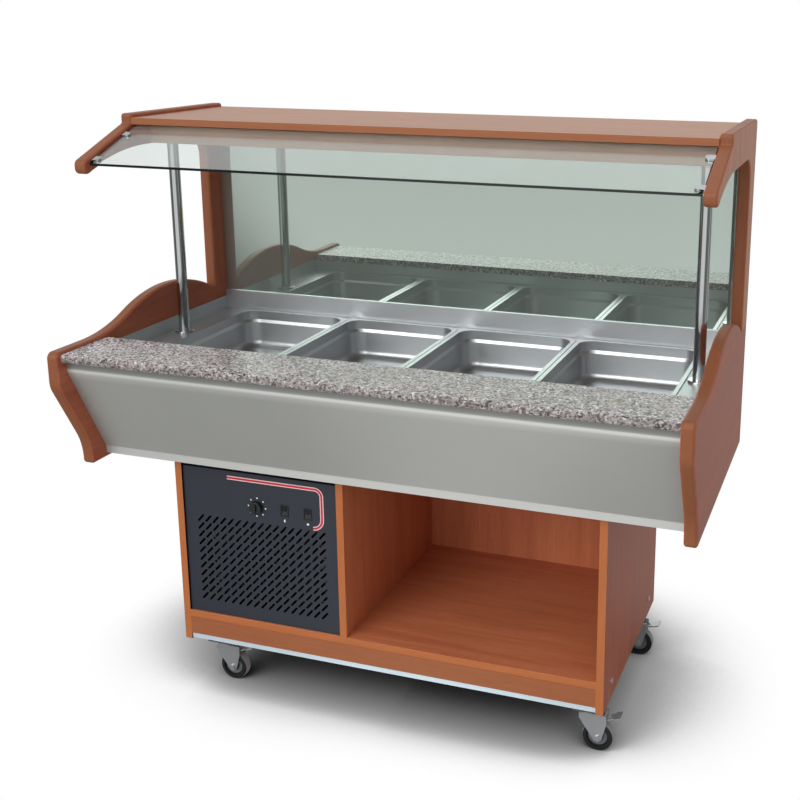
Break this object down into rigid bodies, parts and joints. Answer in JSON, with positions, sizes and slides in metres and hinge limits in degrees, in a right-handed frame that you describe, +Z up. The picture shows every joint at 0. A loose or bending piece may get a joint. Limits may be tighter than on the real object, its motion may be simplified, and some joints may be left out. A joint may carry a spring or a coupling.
{
  "type": "refrigerated buffet counter",
  "caption": "Mobile buffet counter with a cooled well for gastronorm pans, a mirrored hood with a sloping glass, a granite shelf and a wooden cabinet on braked castors.",
  "frame": {"origin": "on the floor, under the middle of the counter's bounding box", "axes": "+X to the right of someone who faces the front, +Y to the rear, +Z up"},
  "size_m": [1.5, 0.76, 1.45],
  "materials": {
    "dark_wood": "satin stained wood",
    "trim_aluminium": "satin",
    "rail_steel": "black powder coat",
    "zinc_steel": "zinc plated",
    "castor_rubber": "matt",
    "bay_panel_paint": "fine textured black paint",
    "black_plastic": "moulded",
    "galvanised_steel": "galvanised",
    "machine_black": "gloss black",
    "fin_aluminium": "mill finish",
    "copper": "drawn copper tube",
    "foam": "rigid foam",
    "stainless": "bright brushed",
    "drain_plastic": "moulded grey pipe",
    "fascia_metal": "satin grey",
    "granite": "polished speckled granite",
    "lamp_white": "white",
    "mirror_glass": "silvered",
    "clear_glass": "polished float glass",
    "chrome": "polished"
  },
  "bodies": {
    "counter": {"cabinet_side_left": "dark_wood", "cabinet_side_right": "dark_wood", "cabinet_divider": "dark_wood", "cabinet_back": "dark_wood", "cabinet_floor": "dark_wood", "plinth_rails": "dark_wood", "base_trim": "trim_aluminium", "castor_rails": "rail_steel", "side_screw_caps": "zinc_steel", "castor_plates": "zinc_steel", "unit_front_panel": "bay_panel_paint", "thermostat_body": "black_plastic", "switch_frames": "black_plastic", "unit_tray": "galvanised_steel", "compressor": "machine_black", "condenser": "fin_aluminium", "fan_shroud": "galvanised_steel", "fan_motor": "machine_black", "refrigerant_pipes": "copper", "electric_box": "black_plastic", "power_inlet": "black_plastic", "well_casing": "galvanised_steel", "well_insulation": "foam", "well_tub": "stainless", "evaporator_coil": "copper", "drain_pipe": "drain_plastic", "front_fascia": "fascia_metal", "granite_shelf": "granite", "end_panel_left": "dark_wood", "end_panel_right": "dark_wood", "hood_side_left": "dark_wood", "hood_side_right": "dark_wood", "top_board": "dark_wood", "lamp_valance": "dark_wood", "lamp_tube": "lamp_white", "mirror": "mirror_glass", "mirror_backing": "dark_wood", "sneeze_glass": "clear_glass", "glass_clamps": "chrome", "hood_tubes": "chrome"},
    "castor_front_left": {"castor_fork_front_left": "zinc_steel"},
    "wheel_front_left": {"castor_wheel_front_left": "castor_rubber"},
    "pedal_front_left": {"brake_pedal_front_left": "zinc_steel"},
    "castor_front_right": {"castor_fork_front_right": "zinc_steel"},
    "wheel_front_right": {"castor_wheel_front_right": "castor_rubber"},
    "pedal_front_right": {"brake_pedal_front_right": "zinc_steel"},
    "castor_rear_left": {"castor_fork_rear_left": "zinc_steel"},
    "wheel_rear_left": {"castor_wheel_rear_left": "castor_rubber"},
    "pedal_rear_left": {"brake_pedal_rear_left": "zinc_steel"},
    "castor_rear_right": {"castor_fork_rear_right": "zinc_steel"},
    "wheel_rear_right": {"castor_wheel_rear_right": "castor_rubber"},
    "pedal_rear_right": {"brake_pedal_rear_right": "zinc_steel"},
    "knob": {"thermostat_knob": "black_plastic"},
    "left_rocker": {"left_switch_rocker": "black_plastic"},
    "right_rocker": {"right_switch_rocker": "black_plastic"},
    "fan": {"fan_blade": "black_plastic"},
    "pan_1": {"food_pan_1": "stainless"},
    "pan_2": {"food_pan_2": "stainless"},
    "pan_3": {"food_pan_3": "stainless"},
    "pan_4": {"food_pan_4": "stainless"}
  },
  "joints": [
    {"name": "swivel_front_left", "type": "hinge", "parent": "counter", "child": "castor_front_left", "pos_m": [-0.488, -0.11, 0.097], "axis": [0, 0, 1], "continuous": true},
    {"name": "roll_front_left", "type": "hinge", "parent": "castor_front_left", "child": "wheel_front_left", "pos_m": [-0.4635, -0.11, 0.0375], "axis": [0, 1, 0], "continuous": true},
    {"name": "brake_front_left", "type": "hinge", "parent": "castor_front_left", "child": "pedal_front_left", "pos_m": [-0.45, -0.11, 0.082], "axis": [0, 1, 0], "range_deg": [0, 18]},
    {"name": "swivel_front_right", "type": "hinge", "parent": "counter", "child": "castor_front_right", "pos_m": [0.488, -0.11, 0.097], "axis": [0, 0, 1], "continuous": true},
    {"name": "roll_front_right", "type": "hinge", "parent": "castor_front_right", "child": "wheel_front_right", "pos_m": [0.5125, -0.11, 0.0375], "axis": [0, 1, 0], "continuous": true},
    {"name": "brake_front_right", "type": "hinge", "parent": "castor_front_right", "child": "pedal_front_right", "pos_m": [0.526, -0.11, 0.082], "axis": [0, 1, 0], "range_deg": [0, 18]},
    {"name": "swivel_rear_left", "type": "hinge", "parent": "counter", "child": "castor_rear_left", "pos_m": [-0.488, 0.348, 0.097], "axis": [0, 0, 1], "continuous": true},
    {"name": "roll_rear_left", "type": "hinge", "parent": "castor_rear_left", "child": "wheel_rear_left", "pos_m": [-0.4635, 0.348, 0.0375], "axis": [0, 1, 0], "continuous": true},
    {"name": "brake_rear_left", "type": "hinge", "parent": "castor_rear_left", "child": "pedal_rear_left", "pos_m": [-0.45, 0.348, 0.082], "axis": [0, 1, 0], "range_deg": [0, 18]},
    {"name": "swivel_rear_right", "type": "hinge", "parent": "counter", "child": "castor_rear_right", "pos_m": [0.488, 0.348, 0.097], "axis": [0, 0, 1], "continuous": true},
    {"name": "roll_rear_right", "type": "hinge", "parent": "castor_rear_right", "child": "wheel_rear_right", "pos_m": [0.5125, 0.348, 0.0375], "axis": [0, 1, 0], "continuous": true},
    {"name": "brake_rear_right", "type": "hinge", "parent": "castor_rear_right", "child": "pedal_rear_right", "pos_m": [0.526, 0.348, 0.082], "axis": [0, 1, 0], "range_deg": [0, 18]},
    {"name": "thermostat_turn", "type": "hinge", "parent": "counter", "child": "knob", "pos_m": [-0.324, -0.2, 0.534], "axis": [0, -1, 0], "range_deg": [-270, 0]},
    {"name": "left_switch", "type": "hinge", "parent": "counter", "child": "left_rocker", "pos_m": [-0.25, -0.1935, 0.534], "axis": [-1, 0, 0], "range_deg": [0, 16]},
    {"name": "right_switch", "type": "hinge", "parent": "counter", "child": "right_rocker", "pos_m": [-0.188, -0.1935, 0.534], "axis": [-1, 0, 0], "range_deg": [0, 16]},
    {"name": "fan_spin", "type": "hinge", "parent": "counter", "child": "fan", "pos_m": [-0.32, -0.1, 0.3435], "axis": [0, -1, 0], "continuous": true},
    {"name": "pan_lift_1", "type": "slide", "parent": "counter", "child": "pan_1", "axis": [0, 0, 1], "range_m": [0, 0.16]},
    {"name": "pan_lift_2", "type": "slide", "parent": "counter", "child": "pan_2", "axis": [0, 0, 1], "range_m": [0, 0.16]},
    {"name": "pan_lift_3", "type": "slide", "parent": "counter", "child": "pan_3", "axis": [0, 0, 1], "range_m": [0, 0.16]},
    {"name": "pan_lift_4", "type": "slide", "parent": "counter", "child": "pan_4", "axis": [0, 0, 1], "range_m": [0, 0.16]}
  ]
}
